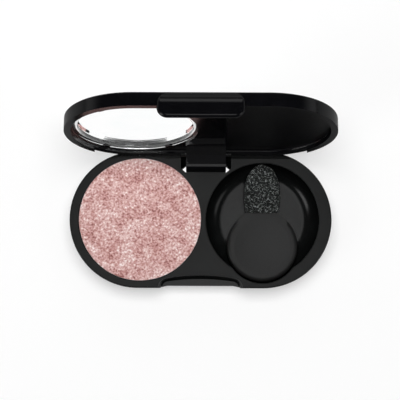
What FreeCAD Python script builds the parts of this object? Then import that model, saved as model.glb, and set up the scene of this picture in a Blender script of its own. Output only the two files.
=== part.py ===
import FreeCAD, Part
import os
from math import atan2, cos, hypot, pi, radians, sin, sqrt

from FreeCAD import Vector

# An eyeshadow compact, open, seen from its user's side: X runs along it, +Y is the hinge side, +Z is up.
# The origin is the middle of the face it rests on. All sizes are in millimetres.

# Pressed powder in its round metal pan
pan_diameter = 26.2
pan_height = 3.2
pan_wall = 0.25
pan_corner_round = 0.5
pan_clearance = 0.1
powder_below_deck = 0.4
powder_side_gap = 0.05
glue_thickness = 0.2

# Deck: the flat top of the base round the two openings
side_border = 1.55
pan_end_border = 1.95
well_end_border = 2.7
bridge_width = 1.05
deck_thickness = 1.2
pan_lip_thickness = 0.55
opening_round = 0.18
deck_edge_round = 0.3
foot_edge_round = 0.35

# Applicator well: a round bowl and a smaller lobe for the handle
well_diameter = 23.8
well_depth = 4.9
well_floor_round = 3.3
lobe_floor_round = 0.9
lobe_front_border = 1.1
handle_clearance = 0.3
well_wall = 1.1

# Base walls and the plate that closes them
outer_wall = 1.2
rebate_wall = 0.7
cup_wall = 1.0
cover_thickness = 1.0
cover_gap = 0.05
cover_headroom = 0.5
seat_diameter = 18.0
seat_wall = 1.2

# Lid
lid_gap = 0.1
lid_cavity = 1.1
lid_floor = 1.05
plate_thickness = 0.8
plate_inset = 1.0
plate_gap = 0.05
plate_edge_round = 0.15
rim_width = 1.4
lid_edge_round = 0.35
lid_corner_round = 0.3
relief_width = 44.4
relief_margin = 0.15
rib_height = 0.45
rib_round = 0.35

# Clear window over the powder
window_border = 1.15
collar_wall = 0.8
window_thickness = 0.95
flange_width = 0.65
flange_thickness = 0.4
flange_step = 1.0
window_gap = 0.05
clip_width = 1.3
clip_thickness = 0.35
clip_overhang = 0.4
clip_bearing = 33.0

# Hinge
open_angle = 105.5
hinge_shift = 1.1
hinge_inset = 0.71
hinge_rise = 0.54
pin_diameter = 0.7
pin_running_gap = 0.04
stop_gap = 0.05
tongue_width = 8.4
tongue_drop = 3.0
tongue_thickness = 1.65
bead_depth = 0.5
bead_flat = 0.53
bead_step = 0.25
block_length = 8.0
ear_width = 1.05
ear_radius = 0.57
ear_gap = 0.06
ear_foot_depth = 0.9
ear_pit_depth = 3.2
pocket_gap = 0.1
slot_gap = 0.15
slot_relief = 0.9

# Clasp tab on the lid and the notch that takes it
tab_width = 17.1
tab_proud = 0.8
tab_drop = 2.5
tab_below_top = 0.3
tab_corner = 2.2
tab_roll = 0.9
tab_crown = 4.0
keel_lift = 0.75
notch_side_gap = 0.4
notch_depth = 2.7
notch_end_round = 2.2
notch_slope = 0.8
notch_floor_gap = 0.5
notch_gap = 0.25
scoop_depth = 0.43
scoop_slant = 2.0

# Applicator
handle_diameter = 15.0
handle_thickness = 3.9
handle_foot_round = 1.2
handle_top_round = 0.8
handle_dish_depth = 0.25
handle_dish_border = 1.6
rest_gap = 0.05
neck_width = 7.2
neck_thickness = 1.5
neck_flare = 1.6
sponge_width = 7.6
sponge_thickness = 3.4
sponge_edge_round = 1.45
sponge_below_deck = 1.7
sponge_tip_gap = 0.15
sponge_taper_share = 0.6
sponge_waist_share = 0.88
sponge_overlap = 0.45
stem_width = 4.0
stem_thickness = 0.9
stem_socket = 3.0
stem_tip_cover = 2.2

# How far cutting shapes reach past the faces that they cut, and how near counts as in the same plane
over = 1.0
same_place = 1e-4

# Worked out from the sizes above
powder_radius = pan_diameter / 2 - pan_wall
opening_radius = powder_radius + powder_side_gap
well_radius = well_diameter / 2
base_radius = opening_radius + side_border
base_depth = 2 * base_radius
base_length = pan_end_border + 2 * opening_radius + bridge_width + well_diameter + well_end_border
base_height = cover_thickness + cover_headroom + well_wall + well_depth
pan_x = pan_end_border + opening_radius - base_length / 2
well_x = base_length / 2 - well_end_border - well_radius

pan_top = base_height - pan_lip_thickness - pan_clearance
pan_bottom = pan_top - pan_height
pan_space_radius = pan_diameter / 2 + pan_clearance
well_floor = base_height - well_depth

handle_radius = handle_diameter / 2
lobe_radius = handle_radius + handle_clearance
handle_y = lobe_front_border + lobe_radius - base_radius
handle_bottom = well_floor + rest_gap
handle_top = handle_bottom + handle_thickness
sponge_middle = base_height - sponge_below_deck
sponge_root = handle_y + handle_radius - sponge_overlap
sponge_tip = well_radius - sponge_tip_gap

rim_level = base_height + lid_gap
lid_floor_level = rim_level + lid_cavity
plate_level = lid_floor_level + lid_floor
lid_top = plate_level + plate_thickness

window_x = base_radius - base_length / 2
window_radius = opening_radius - window_border
collar_radius = window_radius + collar_wall
flange_radius = collar_radius + flange_width
boss_radius = flange_radius - flange_step
pane_level = lid_top - window_thickness

axis_y = base_radius - hinge_inset
axis_z = base_height + hinge_rise
axis_point = Vector(hinge_shift, axis_y, axis_z)
pin_radius = pin_diameter / 2
tongue_half = tongue_width / 2
slot_half = tongue_half + ear_gap
ear_outer = slot_half + ear_width
tongue_bottom = base_height - tongue_drop
tongue_face = base_radius - tongue_thickness
tongue_sweep = hypot(axis_y - tongue_face, axis_z - tongue_bottom)
slot_front = axis_y - tongue_sweep - slot_gap

tab_half = tab_width / 2
notch_floor = base_height - tab_drop - notch_floor_gap
notch_half = tab_half + notch_side_gap
notch_end_x = notch_half - notch_end_round
notch_rise = notch_depth - notch_end_round
notch_radius = (notch_end_x ** 2 + notch_depth ** 2 - notch_end_round ** 2) / (2 * notch_rise)
notch_y = notch_depth - base_radius - notch_radius


def stadium(length, depth, bottom, height):
    """Upright block with round ends, centred on the origin."""
    radius = depth / 2
    half = length / 2 - radius
    front_left = Vector(-half, -radius, bottom)
    front_right = Vector(half, -radius, bottom)
    rear_right = Vector(half, radius, bottom)
    rear_left = Vector(-half, radius, bottom)
    right_end = Part.Arc(front_right, Vector(half + radius, 0, bottom), rear_right)
    left_end = Part.Arc(rear_left, Vector(-half - radius, 0, bottom), front_left)
    outline = Part.Wire([
        Part.LineSegment(front_left, front_right).toShape(),
        right_end.toShape(),
        Part.LineSegment(rear_right, rear_left).toShape(),
        left_end.toShape(),
    ])
    return Part.Face(outline).extrude(Vector(0, 0, height))


def block(x0, x1, y0, y1, z0, z1):
    """Box between two corners."""
    return Part.makeBox(x1 - x0, y1 - y0, z1 - z0, Vector(x0, y0, z0))


def drum(x, y, radius, bottom, top):
    """Upright cylinder."""
    return Part.makeCylinder(radius, top - bottom, Vector(x, y, bottom))


def bar_on_axis(radius, x0, x1):
    """Cylinder along the hinge axis."""
    return Part.makeCylinder(radius, x1 - x0, Vector(x0, axis_y, axis_z), Vector(1, 0, 0))


def prism(points, direction):
    """Flat outline of straight lines pushed along a direction."""
    return Part.Face(Part.makePolygon(points + points[:1])).extrude(direction)


def round_level(shape, level, radius):
    """Rounds every edge that lies in a horizontal plane."""
    edges = [e for e in shape.Edges
             if abs(e.BoundBox.ZMin - level) < same_place and abs(e.BoundBox.ZMax - level) < same_place]
    return shape.makeFillet(radius, edges)


def corner(centre_r, centre_z, radius, start, end):
    """Arc of a turned profile, between two bearings in degrees."""
    def at(bearing):
        return Vector(centre_r + radius * cos(radians(bearing)), 0, centre_z + radius * sin(radians(bearing)))
    return Part.Arc(at(start), at((start + end) / 2), at(end)).toShape()


def turned(parts, x, y):
    """Turns a closed profile, given as points and arcs in order, about an upright axis."""
    edges = []
    last = None
    for part in parts:
        first = part if isinstance(part, Vector) else part.Vertexes[0].Point
        if last is not None and (first - last).Length > same_place:
            edges.append(Part.LineSegment(last, first).toShape())
        if not isinstance(part, Vector):
            edges.append(part)
        last = part if isinstance(part, Vector) else part.Vertexes[-1].Point
    start = edges[0].Vertexes[0].Point
    edges.append(Part.LineSegment(last, start).toShape())
    solid = Part.Face(Part.Wire(edges)).revolve(Vector(0, 0, 0), Vector(0, 0, 1), 360)
    solid.translate(Vector(x, y, 0))
    return solid


def bowl(x, y, radius, floor, floor_round):
    """Space of a round well with a rounded floor and a rounded mouth in the deck."""
    mouth = radius + opening_round
    return turned([
        Vector(0, 0, floor),
        corner(radius - floor_round, floor + floor_round, floor_round, -90, 0),
        corner(mouth, base_height - opening_round, opening_round, 180, 90),
        Vector(mouth, 0, base_height + over),
        Vector(0, 0, base_height + over),
    ], x, y)


def pan_space():
    """Room for the pan under the lip of the deck, open downwards."""
    room = drum(pan_x, 0, pan_space_radius, 0, base_height - pan_lip_thickness)
    mouth = opening_radius + opening_round
    lip = turned([
        Vector(0, 0, pan_bottom),
        Vector(opening_radius, 0, pan_bottom),
        corner(mouth, base_height - opening_round, opening_round, 180, 90),
        Vector(mouth, 0, base_height + over),
        Vector(0, 0, base_height + over),
    ], pan_x, 0)
    return room.fuse(lip)


def well_space():
    """Room for the applicator."""
    round_well = bowl(well_x, 0, well_radius, well_floor, well_floor_round)
    lobe = bowl(well_x, handle_y, lobe_radius, well_floor, lobe_floor_round)
    return round_well.fuse(lobe)


def cups():
    """Walls that stand inside the base round its wells, slot and notch."""
    cup_bottom = well_floor - well_wall
    pan_cup = drum(pan_x, 0, pan_space_radius + cup_wall, 0, base_height)
    well_cup = drum(well_x, 0, well_radius + well_wall, cup_bottom, base_height)
    lobe_cup = drum(well_x, handle_y, lobe_radius + well_wall, cup_bottom, base_height)
    notch_cup = block(-notch_half - cup_wall, notch_half + cup_wall, -base_radius,
                      notch_depth + cup_wall - base_radius, notch_floor - cup_wall, base_height)
    return [pan_cup, well_cup, lobe_cup, notch_cup, hinge_block_space(0)]


def hinge_block_space(gap):
    """Solid plastic round the hinge slot and clear of the pan, grown by a gap."""
    margin = cup_wall + gap
    solid = block(hinge_shift - ear_outer - margin, hinge_shift + ear_outer + margin,
                  slot_front - margin, base_radius + over, -over, base_height)
    return solid.cut(drum(pan_x, 0, pan_space_radius - gap, -over, base_height))


def underside_space():
    """Hollow of the base between its walls and cups, and the rebate for the cover."""
    hollow = stadium(base_length - 2 * outer_wall, base_depth - 2 * outer_wall,
                     0, base_height - deck_thickness)
    for cup in cups():
        hollow = hollow.cut(cup)
    rebate = stadium(base_length - 2 * rebate_wall, base_depth - 2 * rebate_wall,
                     -over, over + cover_thickness + cover_gap)
    return hollow.fuse(rebate.cut(hinge_block_space(0)))


def hinge_slot():
    """Round pocket that the tongue swings in, pit round the ears, and a small hole beside each end."""
    pocket = bar_on_axis(tongue_sweep + slot_gap, hinge_shift - slot_half, hinge_shift + slot_half)
    widest = slot_front + slot_relief
    ear_front = axis_y - ear_radius
    rear = base_radius + over

    def section(y, z):
        return Vector(hinge_shift - ear_outer, y, z)
    pit = prism([section(widest, base_height + over), section(widest, base_height - ear_pit_depth),
                 section(ear_front, base_height - ear_foot_depth),
                 section(rear, base_height - ear_foot_depth),
                 section(rear, base_height + over)], Vector(2 * ear_outer, 0, 0))
    space = pocket.fuse(pit)
    for side in (-1, 1):
        def at(x, y):
            return Vector(hinge_shift + side * x, y, -over)
        hole = prism([at(tongue_half, slot_front), at(slot_half, slot_front), at(ear_outer, widest),
                      at(slot_half, widest + slot_relief), at(tongue_half, widest + slot_relief)],
                     Vector(0, 0, base_height + 2 * over))
        space = space.fuse(hole)
    return space


def ears():
    """Two posts that hold the hinge pin."""
    shapes = []
    for inner in (hinge_shift - ear_outer, hinge_shift + slot_half):
        outer = inner + ear_width
        post = block(inner, outer, axis_y - ear_radius, axis_y + ear_radius,
                     base_height - ear_foot_depth - cup_wall, axis_z)
        shapes.append(post.fuse(bar_on_axis(ear_radius, inner, outer)))
    return shapes


def rear_slope():
    """Slope along the rear edge of the deck, against which the open lid's back stops."""
    lean = radians(open_angle - 90)
    stop = hinge_inset + stop_gap

    def height_at(y):
        return axis_z - (stop + (y - axis_y) * sin(lean)) / cos(lean)
    rear = base_radius + over
    deck_y = axis_y + (hinge_rise * cos(lean) - stop) / sin(lean)
    left = -base_length / 2
    outline = [Vector(left, deck_y, base_height), Vector(left, rear, height_at(rear)),
               Vector(left, rear, base_height + over), Vector(left, deck_y, base_height + over)]
    return prism(outline, Vector(base_length, 0, 0))


def notch_outline(z):
    """Flat arch of the front notch at a height: a wide arc between two small ones, open to the front."""
    inset = notch_slope * (base_height - z) / (base_height - notch_floor)
    end_radius = notch_end_round - inset
    arch_radius = notch_radius - inset
    end_y = -base_radius
    lean = atan2(end_y - notch_y, notch_end_x)

    def on_end(bearing, side):
        return Vector(side * (notch_end_x + end_radius * cos(bearing)), end_y + end_radius * sin(bearing), z)
    front = -base_radius - tab_proud - over
    left_foot = Vector(-notch_end_x - end_radius, front, z)
    right_foot = Vector(notch_end_x + end_radius, front, z)
    crown = Vector(0, notch_y + arch_radius, z)
    return Part.Wire([
        Part.LineSegment(left_foot, on_end(0, -1)).toShape(),
        Part.Arc(on_end(0, -1), on_end(lean / 2, -1), on_end(lean, -1)).toShape(),
        Part.Arc(on_end(lean, -1), crown, on_end(lean, 1)).toShape(),
        Part.Arc(on_end(lean, 1), on_end(lean / 2, 1), on_end(0, 1)).toShape(),
        Part.LineSegment(on_end(0, 1), right_foot).toShape(),
        Part.LineSegment(right_foot, left_foot).toShape(),
    ])


def front_notch():
    """Space of the front notch with its sloping wall."""
    return Part.makeLoft([notch_outline(notch_floor), notch_outline(base_height + over)], True, True)


def front_scoop():
    """Shallow hollow in the front wall under the notch."""
    inner = notch_half - scoop_slant
    front = -base_radius - over
    back = scoop_depth - base_radius
    outline = [Vector(-notch_half, -base_radius, -over), Vector(-inner, back, -over),
               Vector(inner, back, -over), Vector(notch_half, -base_radius, -over),
               Vector(notch_half, front, -over), Vector(-notch_half, front, -over)]
    return prism(outline, Vector(0, 0, notch_floor + 2 * over))


def base_tray():
    tray = stadium(base_length, base_depth, 0, base_height)
    tray = round_level(tray, base_height, deck_edge_round)
    tray = round_level(tray, 0, foot_edge_round)
    for space in (underside_space(), pan_space(), well_space(), hinge_slot(), rear_slope(),
                  front_notch(), front_scoop()):
        tray = tray.cut(space)
    for ear in ears():
        tray = tray.fuse(ear)
    reach = ear_outer + over
    tray = tray.cut(bar_on_axis(pin_radius, hinge_shift - reach, hinge_shift + reach))
    return tray.removeSplitter()


def bottom_cover():
    inset = rebate_wall + cover_gap
    plate = stadium(base_length - 2 * inset, base_depth - 2 * inset, 0, cover_thickness)
    plate = plate.cut(hinge_block_space(cover_gap))
    seat_radius = seat_diameter / 2
    seat_top = pan_bottom - glue_thickness
    seat = drum(pan_x, 0, seat_radius, 0, seat_top)
    seat = seat.cut(drum(pan_x, 0, seat_radius - seat_wall, cover_thickness, seat_top))
    return plate.fuse(seat).removeSplitter()


def pan_glue():
    seat_radius = seat_diameter / 2
    ring = drum(pan_x, 0, seat_radius, pan_bottom - glue_thickness, pan_bottom)
    return ring.cut(drum(pan_x, 0, seat_radius - seat_wall, pan_bottom - glue_thickness, pan_bottom))


def powder_pan():
    outside = pan_diameter / 2
    corner_r = outside - pan_corner_round
    corner_z = pan_bottom + pan_corner_round
    return turned([
        Vector(0, 0, pan_bottom),
        corner(corner_r, corner_z, pan_corner_round, -90, 0),
        Vector(outside, 0, pan_top),
        Vector(powder_radius, 0, pan_top),
        corner(corner_r, corner_z, pan_corner_round - pan_wall, 0, -90),
        Vector(0, 0, pan_bottom + pan_wall),
    ], pan_x, 0)


def powder_cake():
    top = base_height - powder_below_deck
    inner_round = pan_corner_round - pan_wall
    return turned([
        Vector(0, 0, pan_bottom + pan_wall),
        corner(powder_radius - inner_round, pan_bottom + pan_corner_round, inner_round, -90, 0),
        Vector(powder_radius, 0, top),
        Vector(0, 0, top),
    ], pan_x, 0)


def hinge_pin():
    return bar_on_axis(pin_radius, hinge_shift - ear_outer, hinge_shift + ear_outer)


def clasp_tab():
    """Pillow-shaped tab on the lid's front wall, whose lower part drops into the base's notch."""
    front = -base_radius - tab_proud
    back = rim_width - base_radius
    pad_back = -base_radius - notch_gap
    spread = tab_roll - sqrt(tab_roll ** 2 - (tab_roll + front - pad_back) ** 2)
    side = tab_half + spread
    tip = base_height - tab_drop
    bottom = tip - spread
    top = lid_top - tab_below_top
    pillow = block(-side, side, front, back, bottom, top)

    def corner(box):
        return box.YLength > tab_proud

    def outline(box):
        return box.YMax < front + same_place
    for radius, chosen in ((tab_corner, corner), (tab_roll, outline)):
        pillow = pillow.makeFillet(radius, [e for e in pillow.Edges if chosen(e.BoundBox)])
    reach = sqrt(2 * tab_crown * tab_proud - tab_proud ** 2)
    peak = top - reach + tab_crown
    crown = block(-side - over, side + over, front, front + 2 * tab_crown, bottom - over, peak)
    crest = [e for e in crown.Edges if outline(e.BoundBox) and e.BoundBox.ZMin > peak - same_place]
    pillow = pillow.common(crown.makeFillet(tab_crown, crest))
    pillow = pillow.cut(block(-side, side, pad_back, back, bottom, rim_level))
    keel_half = notch_end_x - notch_gap
    keel_back = notch_end_round - notch_slope - notch_gap - base_radius
    keel = block(-keel_half, keel_half, pad_back, keel_back, tip + keel_lift, rim_level)
    return pillow.fuse(keel)


def hinge_tongue():
    """Knuckle, tongue with a bead that lies level when the lid is open, and the block that carries them."""
    left = hinge_shift - tongue_half
    right = hinge_shift + tongue_half
    knuckle = bar_on_axis(hinge_inset, left, right)
    tongue = block(left, right, tongue_face, base_radius, tongue_bottom, axis_z)
    lean = radians(open_angle - 90)
    crest = tongue_face - bead_depth
    chamfer = bead_depth - bead_flat * sin(lean)
    crest_level = tongue_bottom + chamfer + bead_flat * cos(lean)
    inside = tongue_face + tongue_thickness / 2

    def at(y, z):
        return Vector(left, y, z)
    bead = prism([at(tongue_face, tongue_bottom), at(tongue_face - chamfer, tongue_bottom + chamfer),
                  at(crest, crest_level), at(tongue_face, crest_level + bead_step),
                  at(inside, crest_level + bead_step), at(inside, tongue_bottom)], Vector(tongue_width, 0, 0))
    root = block(left, right, base_radius - block_length, base_radius, rim_level, plate_level)
    return knuckle.fuse([tongue, bead, root])


def lid_rib():
    """Raised band across the middle of the lid, in line with the tongue."""
    rib = block(hinge_shift - tongue_half, hinge_shift + tongue_half, rim_width - base_radius,
                base_radius - rim_width, lid_floor_level - rib_height, plate_level)
    edges = [e for e in rib.Edges
             if abs(e.BoundBox.ZMax - lid_floor_level + rib_height) < same_place
             and abs(e.BoundBox.XMin - hinge_shift - tongue_half) < same_place]
    return rib.makeFillet(rib_round, edges)


def window_clips():
    """Small lugs that lap over the window's collar."""
    inner = window_radius - clip_overhang
    outer = flange_radius
    clips = []
    for bearing in (clip_bearing, -clip_bearing, 180 - clip_bearing, 180 + clip_bearing):
        clip = block(window_x - clip_width / 2, window_x + clip_width / 2, inner, outer,
                     lid_floor_level - clip_thickness, lid_floor_level)
        clip.rotate(Vector(window_x, 0, 0), Vector(0, 0, 1), bearing)
        clips.append(clip)
    return clips


def window_space():
    """Hole for the window's collar and the seat of its flange."""
    hole = drum(window_x, 0, collar_radius + window_gap, rim_level, lid_top)
    seat = drum(window_x, 0, flange_radius + window_gap, plate_level - flange_thickness - window_gap, lid_top)
    return hole.fuse(seat)


def ear_pockets():
    """Room in the lid for the base's two ears at every angle of the lid."""
    lean = radians(open_angle - 90)
    top = axis_z + (ear_radius + hinge_inset * sin(lean) + pocket_gap) / cos(lean)
    front = axis_y - ear_radius - pocket_gap
    rear = base_radius + over
    return [block(hinge_shift - ear_outer - ear_gap, hinge_shift - tongue_half, front, rear, 0, top),
            block(hinge_shift + tongue_half, hinge_shift + ear_outer + ear_gap, front, rear, 0, top)]


def rear_relief():
    """Cut that shortens the lid's rear wall up to the height of the hinge axis."""
    half = relief_width / 2
    end_x = half - (base_length / 2 - base_radius)
    front = sqrt((base_radius - rim_width) ** 2 - end_x ** 2) - relief_margin
    return block(-half, half, front, base_radius + over, base_height - over, axis_z)


def opened(shape):
    """Turns a piece of the lid from shut to fully open."""
    turned_shape = shape.copy()
    turned_shape.rotate(axis_point, Vector(1, 0, 0), -open_angle)
    return turned_shape


def lid_frame():
    frame = stadium(base_length, base_depth, rim_level, lid_top - rim_level)
    frame = round_level(frame, lid_top, lid_edge_round)
    frame = frame.fuse(clasp_tab())
    cavity = stadium(base_length - 2 * rim_width, base_depth - 2 * rim_width, rim_level, lid_cavity)
    frame = frame.cut(round_level(cavity, lid_floor_level, lid_corner_round))
    frame = frame.fuse(lid_rib()).cut(rear_relief()).fuse(hinge_tongue())
    plate_seat = stadium(base_length - 2 * plate_inset, base_depth - 2 * plate_inset,
                         plate_level, plate_thickness + over)
    for space in [plate_seat, window_space()] + ear_pockets():
        frame = frame.cut(space)
    for clip in window_clips():
        frame = frame.fuse(clip)
    bore = bar_on_axis(pin_radius + pin_running_gap, hinge_shift - ear_outer, hinge_shift + ear_outer)
    return opened(frame.cut(bore).removeSplitter())


def lid_cover():
    inset = plate_inset + plate_gap
    plate = stadium(base_length - 2 * inset, base_depth - 2 * inset, plate_level, plate_thickness)
    plate = round_level(plate, lid_top, plate_edge_round)
    return opened(plate.cut(drum(window_x, 0, boss_radius + window_gap, plate_level, lid_top)))


def lid_window():
    shape = turned([
        Vector(0, 0, pane_level),
        Vector(window_radius, 0, pane_level),
        Vector(window_radius, 0, lid_floor_level),
        Vector(collar_radius, 0, lid_floor_level),
        Vector(collar_radius, 0, plate_level - flange_thickness),
        Vector(flange_radius, 0, plate_level - flange_thickness),
        Vector(flange_radius, 0, plate_level),
        Vector(boss_radius, 0, plate_level),
        Vector(boss_radius, 0, lid_top),
        Vector(0, 0, lid_top),
    ], window_x, 0)
    return opened(shape)


def stem_block():
    """Flat plastic stem from the handle into the foam."""
    return block(well_x - stem_width / 2, well_x + stem_width / 2, sponge_root - stem_socket,
                 sponge_tip - stem_tip_cover, sponge_middle - stem_thickness / 2,
                 sponge_middle + stem_thickness / 2)


def applicator_handle():
    foot = handle_radius - handle_foot_round
    rim = handle_radius - handle_top_round
    dish = handle_radius - handle_dish_border
    dish_arc = Part.Arc(Vector(dish, 0, handle_top),
                        Vector(dish / 2, 0, handle_top - handle_dish_depth * 3 / 4),
                        Vector(0, 0, handle_top - handle_dish_depth)).toShape()
    disc = turned([
        Vector(0, 0, handle_bottom),
        corner(foot, handle_bottom + handle_foot_round, handle_foot_round, -90, 0),
        corner(rim, handle_top - handle_top_round, handle_top_round, 0, 90),
        dish_arc,
    ], well_x, handle_y)
    half = neck_width / 2
    wide = half + neck_flare
    disc_y = handle_y + sqrt(handle_radius ** 2 - wide ** 2)

    def at(x, y):
        return Vector(well_x + x, y, handle_top - neck_thickness)
    neck = prism([at(-wide, disc_y), at(-wide, handle_y), at(wide, handle_y), at(wide, disc_y),
                  at(half, sponge_root), at(-half, sponge_root)], Vector(0, 0, neck_thickness))
    dish_room = drum(well_x, handle_y, dish, handle_top - handle_dish_depth, handle_top)
    foam_room = block(well_x - half, well_x + half, sponge_root, sponge_root + over,
                      handle_bottom, handle_top)
    return disc.cut(foam_room).fuse(neck.cut(dish_room)).cut(stem_block()).removeSplitter()


def sponge():
    """Foam tip: a flat pad, widest in the middle, with a tapering round end and full, soft edges."""
    half = sponge_width / 2
    length = sponge_tip - sponge_root
    middle = sponge_tip - sponge_taper_share * length
    waist = sponge_waist_share * length
    bottom = sponge_middle - sponge_thickness / 2

    def at(x, y):
        return Vector(well_x + x, y, bottom)
    end = Part.Ellipse(at(0, sponge_tip), at(-half, middle), at(0, middle))
    side = Part.Ellipse(at(0, middle + waist), at(-half, middle), at(0, middle))
    outline = Part.Wire([
        Part.ArcOfEllipse(end, -pi / 2, pi / 2).toShape(),
        Part.ArcOfEllipse(side, pi / 2, 3 * pi / 2).toShape(),
    ])
    pad = Part.Face(outline).extrude(Vector(0, 0, sponge_thickness))
    pad = round_level(pad, bottom, sponge_edge_round)
    pad = round_level(pad, bottom + sponge_thickness, sponge_edge_round)
    pad = pad.cut(block(well_x - half, well_x + half, middle - waist, sponge_root,
                        bottom, bottom + sponge_thickness))
    return pad.cut(stem_block())


pieces = {
    "base_tray": base_tray(),
    "bottom_cover": bottom_cover(),
    "powder_pan": powder_pan(),
    "powder_cake": powder_cake(),
    "pan_glue": pan_glue(),
    "hinge_pin": hinge_pin(),
    "lid_frame": lid_frame(),
    "lid_cover": lid_cover(),
    "lid_window": lid_window(),
    "applicator_handle": applicator_handle(),
    "applicator_stem": stem_block(),
    "sponge_tip": sponge(),
}

os.makedirs("parts", exist_ok=True)
for node, shape in pieces.items():
    print(node, shape.isValid(), len(shape.Solids), round(shape.Volume, 2))
    shape.exportStep("parts/" + node + ".step")
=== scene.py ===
from math import cos, pi, radians, sin

import bpy
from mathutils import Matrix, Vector


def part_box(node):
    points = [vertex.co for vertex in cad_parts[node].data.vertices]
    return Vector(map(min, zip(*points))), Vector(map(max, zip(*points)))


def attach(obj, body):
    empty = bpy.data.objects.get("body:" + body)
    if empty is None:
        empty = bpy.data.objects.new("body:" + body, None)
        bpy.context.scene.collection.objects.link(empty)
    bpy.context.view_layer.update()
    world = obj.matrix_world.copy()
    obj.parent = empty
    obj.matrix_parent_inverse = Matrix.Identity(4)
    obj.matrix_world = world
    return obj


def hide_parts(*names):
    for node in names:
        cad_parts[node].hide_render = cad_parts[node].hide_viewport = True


# Looks of an open eyeshadow compact: black plastic case, pink pressed powder, foam-tipped applicator.
# Everything is in metres, in the frame of the solids.

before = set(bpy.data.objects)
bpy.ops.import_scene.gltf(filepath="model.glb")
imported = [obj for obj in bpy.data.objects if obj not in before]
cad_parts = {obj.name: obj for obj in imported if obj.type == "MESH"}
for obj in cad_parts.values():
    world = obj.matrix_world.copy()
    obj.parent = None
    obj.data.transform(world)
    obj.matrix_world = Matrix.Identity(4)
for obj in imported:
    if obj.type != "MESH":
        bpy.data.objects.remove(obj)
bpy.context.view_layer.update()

mm = 0.001

# Camera: nearly straight above, tipped a little towards the hinge
view_target = Vector((-0.08, 4.12, 7.5)) * mm
view_distance = 298.7 * mm
view_pitch = radians(2.815)
view_roll = radians(0.21)
view_lens = 127.4
sensor_width = 36.0
view_nearest = 0.01
view_farthest = 10.0

# Base moulding: etched deck above the polished well
deck_top = 7.5 * mm
etched_from = 7.0 * mm
etched_rough = 0.12

# Lid, open: the way its inner face looks, how nearly a face looks that way to count, and its satin panel
lid_lean = radians(15.5)
lid_inside = (0, -cos(lid_lean), sin(lid_lean))
lid_inside_least = 0.95
panel_from = 5.3 * mm
panel_rough = 0.24

# Window: width of the ring of collar and flange round the pane
window_ring = 1.45 * mm

# Powder: rings of the modelled surface, what counts as its top, its relief, and how much the flakes show as
# paler colour and painted glints
powder_sides = 360
powder_ring = 0.12 * mm
powder_rings_left = 2
powder_edge = 0.35 * mm
powder_level = 0.01 * mm
powder_facing_up = 0.5
powder_crease = radians(40)
lump_size = 0.9 * mm
lump_height = 0.16 * mm
grain_size = 0.3 * mm
grain_height = 0.1 * mm
flake_glint_share = 0.4

# Foam tip: its mesh and relief, and the lie of its strands, which carry painted highlights round painted
# shade in the pores
foam_weld = 0.001 * mm
foam_voxel = 0.1 * mm
foam_cell = 0.55 * mm
foam_relief = 0.16 * mm
strand_bend = 0.0004
strand_slant = (0.0, 0.0, radians(-20))
strand_stretch = (0.5, 1.0, 1.0)
strand_width = 0.15

# Metal: how the drawing lines are stretched, round the pan and along the pin
pan_line_stretch = (1.0, 1.0, 12.0)
wire_line_stretch = (0.1, 1.0, 1.0)

# Stage: floor with a painted bright patch under the base, which glows fully and takes out the base's shadow
# so that it shows white in the gaps beside the hinge, and a sky that darkens upwards
floor_half = 3.0
floor_drop = 0.05 * mm
floor_glow = 0.45
floor_grey = "#909090"
painted_glow_outer = 14.0 * mm
painted_glow_inner = 13.3 * mm
sky_bright = 0.4
sky_dark = 0.02
sky_bright_until = 0.10
sky_dark_from = 0.42

# Lamps that show in the gloss: name, place and size in millimetres, brightness
lamps = (
    ("overhead_panel", (0, -20, 700), (250, 250), 0.93),
    ("left_box", (-500, -260, 400), (260, 360), 1.9),
    ("right_box", (540, -180, 400), (260, 360), 0.7),
    ("back_strip", (0, 575, 405), (600, 190), 0.85),
)
# Lamp that lights the powder and the floor, and stays out of the gloss
fill_lamp = ("fill_panel", (0, 120, 620), (400, 280), 9.9)

# Where most values of a noise pattern lie
noise_range = {"From Min": 0.3, "From Max": 0.7}


def per(size_mm):
    """Texture scale at which a pattern repeats about once in a real size."""
    return 1 / (size_mm * mm)


def colour(text):
    """Linear colour of an sRGB hex value."""
    channels = [int(text[i:i + 2], 16) / 255 for i in (1, 3, 5)]
    linear = [c / 12.92 if c <= 0.04045 else ((c + 0.055) / 1.055) ** 2.4 for c in channels]
    return (*linear, 1.0)


def add(tree, kind, inputs=None, stops=(), **settings):
    """Adds a node with its settings, its colour stops, and its inputs set or linked to a socket or a node."""
    node = tree.nodes.new(kind)
    for name, value in settings.items():
        setattr(node, name, value)
    for name, value in (inputs or {}).items():
        if isinstance(value, bpy.types.Node):
            value = next(socket for socket in value.outputs if socket.enabled)
        if isinstance(value, bpy.types.NodeSocket):
            tree.links.new(value, node.inputs[name])
        else:
            node.inputs[name].default_value = value
    for _ in stops[2:]:
        node.color_ramp.elements.new(1.0)
    for index, (position, text) in enumerate(stops):
        node.color_ramp.elements[index].position = position
        node.color_ramp.elements[index].color = colour(text)
    return node


def new_material(name):
    """Empty node material, its tree and its object coordinates."""
    material = bpy.data.materials.new(name)
    material.use_nodes = True
    tree = material.node_tree
    tree.nodes.clear()
    place = add(tree, "ShaderNodeTexCoord").outputs["Object"]
    return material, tree, place


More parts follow.
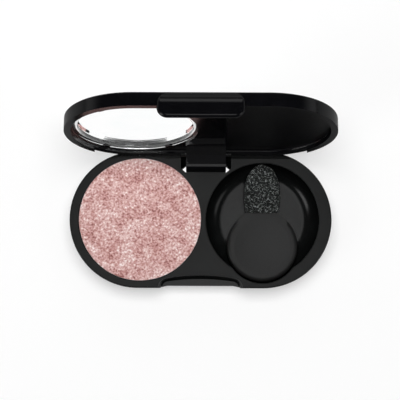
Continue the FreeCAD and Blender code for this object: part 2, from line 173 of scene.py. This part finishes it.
def satin_black_abs():
    """Satin black ABS, moulded in a finely etched tool: even, soft grey sheen where it faces the light. Its
    grain is drawn coarser than a fine etch leaves it, so that it shows."""
    material, tree, place = new_material("satin_black_abs")
    cloud = add(tree, "ShaderNodeTexNoise", {"Vector": place, "Scale": per(3.0)})
    grain = add(tree, "ShaderNodeTexNoise", {"Vector": place, "Scale": per(0.35), "Detail": 3.0})
    height = add(tree, "ShaderNodeSeparateXYZ", {"Vector": place}).outputs["Z"]
    etched = add(tree, "ShaderNodeMapRange", {"Value": height, "From Min": etched_from, "From Max": deck_top,
                                              "To Min": 0.0, "To Max": etched_rough})
    polish = add(tree, "ShaderNodeMapRange", {**noise_range, "Value": grain, "To Min": 0.18, "To Max": 0.22})
    shader = add(tree, "ShaderNodeBsdfPrincipled", {
        "Base Color": add(tree, "ShaderNodeValToRGB", {"Fac": cloud}, [(0.3, "#0B0C0C"), (0.7, "#101111")]),
        "Roughness": add(tree, "ShaderNodeMath", {0: polish, 1: etched}, operation="ADD"),
        "IOR": 1.5,
        "Normal": add(tree, "ShaderNodeBump", {"Height": grain, "Distance": 0.002 * mm}),
    })
    add(tree, "ShaderNodeOutputMaterial", {"Surface": shader})
    return material


def gloss_black_abs():
    """Gloss black ABS from a polished tool: deep black with clear, slightly wavy reflections, and a satin
    panel inside the lid."""
    material, tree, place = new_material("gloss_black_abs")
    wave = add(tree, "ShaderNodeTexNoise", {"Vector": place, "Scale": per(2.5)})
    speck = add(tree, "ShaderNodeTexNoise", {"Vector": place, "Scale": per(0.5)})
    facing = add(tree, "ShaderNodeTexCoord").outputs["Normal"]
    inward = add(tree, "ShaderNodeVectorMath", {0: facing, 1: lid_inside}, operation="DOT_PRODUCT")
    inside = add(tree, "ShaderNodeMath", {0: inward, 1: lid_inside_least}, operation="GREATER_THAN")
    across = add(tree, "ShaderNodeSeparateXYZ", {"Vector": place}).outputs["X"]
    beyond = add(tree, "ShaderNodeMath", {0: across, 1: panel_from}, operation="GREATER_THAN")
    panel = add(tree, "ShaderNodeMath", {0: inside, 1: beyond}, operation="MULTIPLY")
    polish = add(tree, "ShaderNodeMapRange", {**noise_range, "Value": speck, "To Min": 0.14, "To Max": 0.19})
    shader = add(tree, "ShaderNodeBsdfPrincipled", {
        "Base Color": add(tree, "ShaderNodeValToRGB", {"Fac": wave}, [(0.3, "#050507"), (0.7, "#08080B")]),
        "Roughness": add(tree, "ShaderNodeMath", {0: panel, 1: panel_rough, 2: polish},
                         operation="MULTIPLY_ADD"),
        "IOR": 1.5,
        "Normal": add(tree, "ShaderNodeBump", {"Height": wave, "Distance": 0.003 * mm}),
    })
    add(tree, "ShaderNodeOutputMaterial", {"Surface": shader})
    return material


def matt_black_pp():
    """Matt black polypropylene of the applicator, moulded: dull, slightly lighter than the case. Its grain is
    drawn coarser than the real one, so that it shows."""
    material, tree, place = new_material("matt_black_polypropylene")
    grain = add(tree, "ShaderNodeTexNoise", {"Vector": place, "Scale": per(0.3), "Detail": 3.0})
    shader = add(tree, "ShaderNodeBsdfPrincipled", {
        "Base Color": add(tree, "ShaderNodeValToRGB", {"Fac": grain}, [(0.3, "#1A1A1A"), (0.7, "#202020")]),
        "Roughness": add(tree, "ShaderNodeMapRange",
                         {**noise_range, "Value": grain, "To Min": 0.3, "To Max": 0.36}),
        "IOR": 1.49,
        "Normal": add(tree, "ShaderNodeBump", {"Height": grain, "Distance": 0.005 * mm}),
    })
    add(tree, "ShaderNodeOutputMaterial", {"Surface": shader})
    return material


def clear_styrene():
    """Clear polystyrene window: polished and colourless; the pane is kept weak in reflection so that it reads
    as open, and the collar round it bends the light as thick plastic does."""
    material, tree, place = new_material("clear_polystyrene")
    low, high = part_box("lid_window")
    pane_radius = (high.x - low.x) / 2 - window_ring
    reach = add(tree, "ShaderNodeVectorMath", {0: place, 1: (low + high) / 2}, operation="DISTANCE")
    in_ring = add(tree, "ShaderNodeMath", {0: reach, 1: pane_radius}, operation="GREATER_THAN")
    wave = add(tree, "ShaderNodeTexNoise", {"Vector": place, "Scale": per(6.0)})
    clear = add(tree, "ShaderNodeValToRGB", {"Fac": wave}, [(0.3, "#FBFDFD"), (0.7, "#FFFFFF")])
    pane = add(tree, "ShaderNodeBsdfPrincipled", {"Base Color": clear, "Roughness": 0.0, "IOR": 1.02,
                                                  "Transmission Weight": 1.0})
    ring = add(tree, "ShaderNodeBsdfPrincipled", {"Base Color": clear, "Roughness": 0.02, "IOR": 1.59,
                                                  "Transmission Weight": 1.0})
    mixed = add(tree, "ShaderNodeMixShader", {0: in_ring, 1: pane, 2: ring})
    add(tree, "ShaderNodeOutputMaterial", {"Surface": mixed})
    return material


def drawn_aluminium():
    """Drawn aluminium of the pan: pale grey metal with fine lines round it."""
    material, tree, place = new_material("drawn_aluminium")
    stretched = add(tree, "ShaderNodeMapping", {"Vector": place, "Scale": pan_line_stretch})
    lines = add(tree, "ShaderNodeTexNoise", {"Vector": stretched, "Scale": per(1.2), "Detail": 4.0})
    shader = add(tree, "ShaderNodeBsdfPrincipled", {
        "Base Color": add(tree, "ShaderNodeValToRGB", {"Fac": lines}, [(0.3, "#C9CACC"), (0.7, "#DCDDDF")]),
        "Metallic": 1.0,
        "Roughness": add(tree, "ShaderNodeMapRange",
                         {**noise_range, "Value": lines, "To Min": 0.28, "To Max": 0.4}),
        "Normal": add(tree, "ShaderNodeBump", {"Height": lines, "Distance": 0.004 * mm}),
    })
    add(tree, "ShaderNodeOutputMaterial", {"Surface": shader})
    return material


def steel_wire():
    """Drawn steel wire of the hinge pin: grey metal with lines along its length, drawn coarser than real ones
    so that they show."""
    material, tree, place = new_material("drawn_steel_wire")
    stretched = add(tree, "ShaderNodeMapping", {"Vector": place, "Scale": wire_line_stretch})
    lines = add(tree, "ShaderNodeTexNoise", {"Vector": stretched, "Scale": per(0.12), "Detail": 3.0})
    shader = add(tree, "ShaderNodeBsdfPrincipled", {
        "Base Color": add(tree, "ShaderNodeValToRGB", {"Fac": lines}, [(0.3, "#9A9B9D"), (0.7, "#B9BABC")]),
        "Metallic": 1.0,
        "Roughness": add(tree, "ShaderNodeMapRange",
                         {**noise_range, "Value": lines, "To Min": 0.22, "To Max": 0.34}),
        "Normal": add(tree, "ShaderNodeBump", {"Height": lines, "Distance": 0.002 * mm}),
    })
    add(tree, "ShaderNodeOutputMaterial", {"Surface": shader})
    return material


def hot_melt_glue():
    """Hot-melt glue: waxy, cloudy and cream coloured."""
    material, tree, place = new_material("hot_melt_glue")
    cloud = add(tree, "ShaderNodeTexNoise", {"Vector": place, "Scale": per(0.8), "Detail": 3.0})
    shader = add(tree, "ShaderNodeBsdfPrincipled", {
        "Base Color": add(tree, "ShaderNodeValToRGB", {"Fac": cloud}, [(0.3, "#DCD2B4"), (0.7, "#EFE8D2")]),
        "Roughness": add(tree, "ShaderNodeMapRange",
                         {**noise_range, "Value": cloud, "To Min": 0.35, "To Max": 0.5}),
        "Subsurface Weight": 0.2,
        "Subsurface Radius": (1.0 * mm, 1.0 * mm, 0.8 * mm),
        "Normal": add(tree, "ShaderNodeBump", {"Height": cloud, "Distance": 0.02 * mm}),
    })
    add(tree, "ShaderNodeOutputMaterial", {"Surface": shader})
    return material


def glitter_powder():
    """Pressed mica powder: pale flakes on dusty rose, each flake lighter or darker at random as a painted
    glint that stands in for the way it takes the light. The flakes are drawn coarser than real mica, so that
    they show."""
    material, tree, place = new_material("pressed_glitter_powder")
    flakes = add(tree, "ShaderNodeTexVoronoi", {"Vector": place, "Scale": per(0.3)}).outputs["Color"]
    flake = add(tree, "ShaderNodeSeparateColor", {"Color": flakes}).outputs["Red"]
    fine = add(tree, "ShaderNodeTexNoise", {"Vector": place, "Scale": per(0.45), "Detail": 4.0})
    patch = add(tree, "ShaderNodeTexNoise", {"Vector": place, "Scale": per(3.5), "Detail": 3.0})
    speckle = add(tree, "ShaderNodeMapRange", {**noise_range, "Value": fine, "To Min": -0.05, "To Max": 0.62})
    cloud = add(tree, "ShaderNodeMapRange", {**noise_range, "Value": patch, "To Min": -0.2, "To Max": 0.22})
    mottled = add(tree, "ShaderNodeMath", {0: speckle, 1: cloud}, operation="ADD")
    # Painted glints: each flake adds its own random lightness to the mottled colour
    tone_and_glints = add(tree, "ShaderNodeMath", {0: flake, 1: flake_glint_share, 2: mottled}, operation="MULTIPLY_ADD")
    height = add(tree, "ShaderNodeMath", {0: flake, 1: fine}, operation="ADD")
    shader = add(tree, "ShaderNodeBsdfPrincipled", {
        "Base Color": add(tree, "ShaderNodeValToRGB", {"Fac": tone_and_glints},
                          [(0.05, "#8A5450"), (0.3, "#BC8883"), (0.55, "#D3AAA6"), (0.8, "#E6CBC8"),
                           (1.0, "#FCF3F1")]),
        "Roughness": add(tree, "ShaderNodeMapRange",
                         {**noise_range, "Value": fine, "To Min": 0.6, "To Max": 0.45}),
        "Normal": add(tree, "ShaderNodeBump", {"Height": height, "Distance": 0.08 * mm, "Strength": 0.6}),
    })
    add(tree, "ShaderNodeOutputMaterial", {"Surface": shader})
    return material


def dark_foam():
    """Dark open-cell foam, coloured with painted highlights on its strands and painted shade in its pores; a
    noise makes some strands catch more painted light than others.
    """
    material, tree, place = new_material("dark_open_cell_foam")
    twist = add(tree, "ShaderNodeTexNoise", {"Vector": place, "Scale": per(0.6)}).outputs["Color"]
    bent = add(tree, "ShaderNodeMix", {"Factor": strand_bend, "A": place, "B": twist}, data_type="VECTOR")
    drawn = add(tree, "ShaderNodeMapping",
                {"Vector": bent, "Rotation": strand_slant, "Scale": strand_stretch})
    cells = add(tree, "ShaderNodeTexVoronoi", {"Vector": drawn, "Scale": per(0.28)},
                feature="DISTANCE_TO_EDGE")
    glint = add(tree, "ShaderNodeTexNoise", {"Vector": place, "Scale": per(0.5)})
    strand = add(tree, "ShaderNodeMapRange", {"Value": cells, "From Min": 0.0, "From Max": strand_width,
                                              "To Min": 1.0, "To Max": 0.0})
    painted_glint = add(tree, "ShaderNodeMapRange", {**noise_range, "Value": glint, "To Min": 0.15, "To Max": 1.0})
    # Painted highlights on the strands, brighter where the glint noise is high; the dark pores between them
    # are painted shade
    shown = add(tree, "ShaderNodeMath", {0: strand, 1: painted_glint}, operation="MULTIPLY")
    shader = add(tree, "ShaderNodeBsdfPrincipled", {
        "Base Color": add(tree, "ShaderNodeValToRGB", {"Fac": shown},
                          [(0.0, "#131414"), (0.38, "#272A29"), (0.84, "#C3C8C6")]),
        "Roughness": 0.85,
        "Specular IOR Level": 0.25,
        "Normal": add(tree, "ShaderNodeBump", {"Height": strand, "Distance": 0.12 * mm, "Strength": 0.8}),
    })
    add(tree, "ShaderNodeOutputMaterial", {"Surface": shader})
    return material


def white_paper():
    """White paper of the floor: it glows for the camera and through the window, keeps the shadow, and is
    plain grey in reflections. Under the base a painted bright patch glows fully and takes the shadow out, so
    that the gaps beside the hinge show white."""
    material, tree, place = new_material("white_paper")
    path = add(tree, "ShaderNodeLightPath").outputs
    reach = add(tree, "ShaderNodeVectorMath", {0: place}, operation="LENGTH")
    # Painted light: inside the patch under the base the floor glows fully, whatever shade falls there
    share = add(tree, "ShaderNodeMapRange", {"Value": reach, "From Min": painted_glow_inner, "From Max": painted_glow_outer,
                                             "To Min": 1.0, "To Max": floor_glow})
    shown = add(tree, "ShaderNodeMath", {0: path["Is Camera Ray"], 1: share, 2: path["Is Transmission Ray"]},
                operation="MULTIPLY_ADD", use_clamp=True)
    tint = add(tree, "ShaderNodeValToRGB", {"Fac": path["Is Camera Ray"]},
               [(0.0, floor_grey), (1.0, "#FFFFFF")])
    paper = add(tree, "ShaderNodeBsdfDiffuse", {"Color": tint})
    glow = add(tree, "ShaderNodeEmission", {"Color": colour("#FFFFFF"), "Strength": 1.0})
    mixed = add(tree, "ShaderNodeMixShader", {0: shown, 1: paper, 2: glow})
    add(tree, "ShaderNodeOutputMaterial", {"Surface": mixed})
    return material


def start_clean():
    """Leaves nothing selected, so that an operator acts on the new piece alone."""
    if bpy.context.object and bpy.context.object.mode != "OBJECT":
        bpy.ops.object.mode_set(mode="OBJECT")
    bpy.ops.object.select_all(action="DESELECT")


def settle(piece):
    """Puts the piece's place into its mesh and makes it the only selected object."""
    start_clean()
    piece.select_set(True)
    bpy.context.view_layer.objects.active = piece
    bpy.ops.object.transform_apply(location=True, rotation=True, scale=True)


def relief(piece, kind, size, height, group, name):
    """Displaces a group of points along their normals by a procedural texture."""
    texture = bpy.data.textures.new(name, kind)
    texture.noise_scale = size
    modifier = piece.modifiers.new(name, "DISPLACE")
    modifier.texture = texture
    modifier.texture_coords = "LOCAL"
    modifier.strength = height
    modifier.mid_level = 0.5
    modifier.vertex_group = group
    bpy.ops.object.modifier_apply(modifier=name)


def group_where(piece, name, weight_at):
    """Vertex group with a weight worked out from each point."""
    group = piece.vertex_groups.new(name=name)
    for vertex in piece.data.vertices:
        weight = weight_at(vertex.co)
        if weight > 0:
            group.add([vertex.index], weight, "REPLACE")
    return group.name


def powder_surface():
    """Pressed powder: a disc with a finely ringed top, raised into lumps and grains."""
    low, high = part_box("powder_cake")
    middle = (low + high) / 2
    radius = (high.x - low.x) / 2
    start_clean()
    bpy.ops.mesh.primitive_cylinder_add(vertices=powder_sides, radius=radius, depth=high.z - low.z,
                                        end_fill_type="NGON", location=middle)
    piece = bpy.context.object
    piece.name = "pressed_powder"
    settle(piece)
    for face in piece.data.polygons:
        face.select = face.normal.z > powder_facing_up
    bpy.ops.object.mode_set(mode="EDIT")
    bpy.ops.mesh.select_mode(type="FACE")
    for _ in range(int(radius / powder_ring) - powder_rings_left):
        bpy.ops.mesh.inset(thickness=powder_ring)
    bpy.ops.mesh.poke()
    bpy.ops.object.mode_set(mode="OBJECT")

    def top_weight(point):
        if point.z < high.z - powder_level:
            return 0
        reach = radius - (point - middle).to_2d().length
        return min(reach / powder_edge, 1)
    group = group_where(piece, "top", top_weight)
    relief(piece, "CLOUDS", lump_size, lump_height, group, "lumps")
    relief(piece, "CLOUDS", grain_size, grain_height, group, "grains")
    bpy.ops.object.shade_smooth_by_angle(angle=powder_crease)
    return piece


def foam_tip():
    """Foam tip of the applicator: the pad's full form, with an open-cell skin."""
    start_clean()
    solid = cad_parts["sponge_tip"]
    piece = bpy.data.objects.new("foam_pad", solid.data.copy())
    bpy.context.scene.collection.objects.link(piece)
    piece.data.materials.clear()
    settle(piece)
    bpy.ops.object.mode_set(mode="EDIT")
    bpy.ops.mesh.select_all(action="SELECT")
    bpy.ops.mesh.remove_doubles(threshold=foam_weld)
    bpy.ops.object.mode_set(mode="OBJECT")
    remesh = piece.modifiers.new("even_mesh", "REMESH")
    remesh.mode = "VOXEL"
    remesh.voxel_size = foam_voxel
    bpy.ops.object.modifier_apply(modifier="even_mesh")
    group = group_where(piece, "skin", lambda point: 1)
    relief(piece, "VORONOI", foam_cell, foam_relief, group, "cells")
    bpy.ops.object.shade_smooth()
    return piece


def dress(node, material):
    """Gives a node of the frame its finish."""
    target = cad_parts[node]
    target.data.materials.clear()
    target.data.materials.append(material)


def softbox(name, place_mm, size_mm, radiance):
    """Flat lamp of a given brightness that faces the compact."""
    data = bpy.data.lights.new(name, "AREA")
    data.shape = "RECTANGLE"
    data.size = size_mm[0] * mm
    data.size_y = size_mm[1] * mm
    data.energy = radiance * pi * data.size * data.size_y
    lamp = bpy.data.objects.new(name, data)
    lamp.location = Vector(place_mm) * mm
    lamp.rotation_euler = lamp.location.to_track_quat("Z", "Y").to_euler()
    lamp.visible_camera = False
    bpy.context.scene.collection.objects.link(lamp)
    return lamp


def surroundings():
    """World that is white to the camera and through the window, and lights the gloss from low down only."""
    world = bpy.data.worlds.new("studio")
    bpy.context.scene.world = world
    world.use_nodes = True
    tree = world.node_tree
    tree.nodes.clear()
    direction = add(tree, "ShaderNodeTexCoord").outputs["Generated"]
    height = add(tree, "ShaderNodeSeparateXYZ", {"Vector": direction}).outputs["Z"]
    fade = add(tree, "ShaderNodeMapRange", {"Value": height, "From Min": sky_bright_until,
                                            "From Max": sky_dark_from, "To Min": sky_bright,
                                            "To Max": sky_dark}, interpolation_type="SMOOTHSTEP")
    path = add(tree, "ShaderNodeLightPath").outputs
    seen = add(tree, "ShaderNodeMath", {0: path["Is Camera Ray"], 1: path["Is Transmission Ray"]},
               operation="MAXIMUM")
    strength = add(tree, "ShaderNodeMath", {0: fade, 1: seen}, operation="MAXIMUM")
    glow = add(tree, "ShaderNodeBackground", {"Color": colour("#FFFFFF"), "Strength": strength})
    add(tree, "ShaderNodeOutputWorld", {"Surface": glow})


def studio():
    """Floor, surroundings and lamps."""
    start_clean()
    bpy.ops.mesh.primitive_plane_add(size=2 * floor_half, location=(0, 0, -floor_drop))
    floor = bpy.context.object
    floor.name = "floor"
    floor.data.materials.append(white_paper())
    surroundings()
    for lamp in lamps:
        softbox(*lamp)
    softbox(*fill_lamp).visible_glossy = False


def camera():
    """Camera at the photograph's viewing angle."""
    data = bpy.data.cameras.new("camera")
    data.lens = view_lens
    data.sensor_width = sensor_width
    data.clip_start = view_nearest
    data.clip_end = view_farthest
    stand = bpy.data.objects.new("camera", data)
    back = Vector((0, -sin(view_pitch), cos(view_pitch)))
    stand.location = view_target + back * view_distance
    stand.rotation_euler = (view_pitch, 0, view_roll)
    bpy.context.scene.collection.objects.link(stand)
    bpy.context.scene.camera = stand


satin = satin_black_abs()
gloss = gloss_black_abs()
matt = matt_black_pp()
for node in ("base_tray", "bottom_cover"):
    dress(node, satin)
for node in ("lid_frame", "lid_cover"):
    dress(node, gloss)
for node in ("applicator_handle", "applicator_stem"):
    dress(node, matt)
dress("lid_window", clear_styrene())
dress("powder_pan", drawn_aluminium())
dress("pan_glue", hot_melt_glue())
dress("hinge_pin", steel_wire())

powder = powder_surface()
powder.data.materials.append(glitter_powder())
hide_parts("powder_cake")
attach(powder, "base")

foam = foam_tip()
foam.data.materials.append(dark_foam())
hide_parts("sponge_tip")
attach(foam, "applicator")

studio()
camera()
bpy.context.scene.view_settings.view_transform = "Standard"
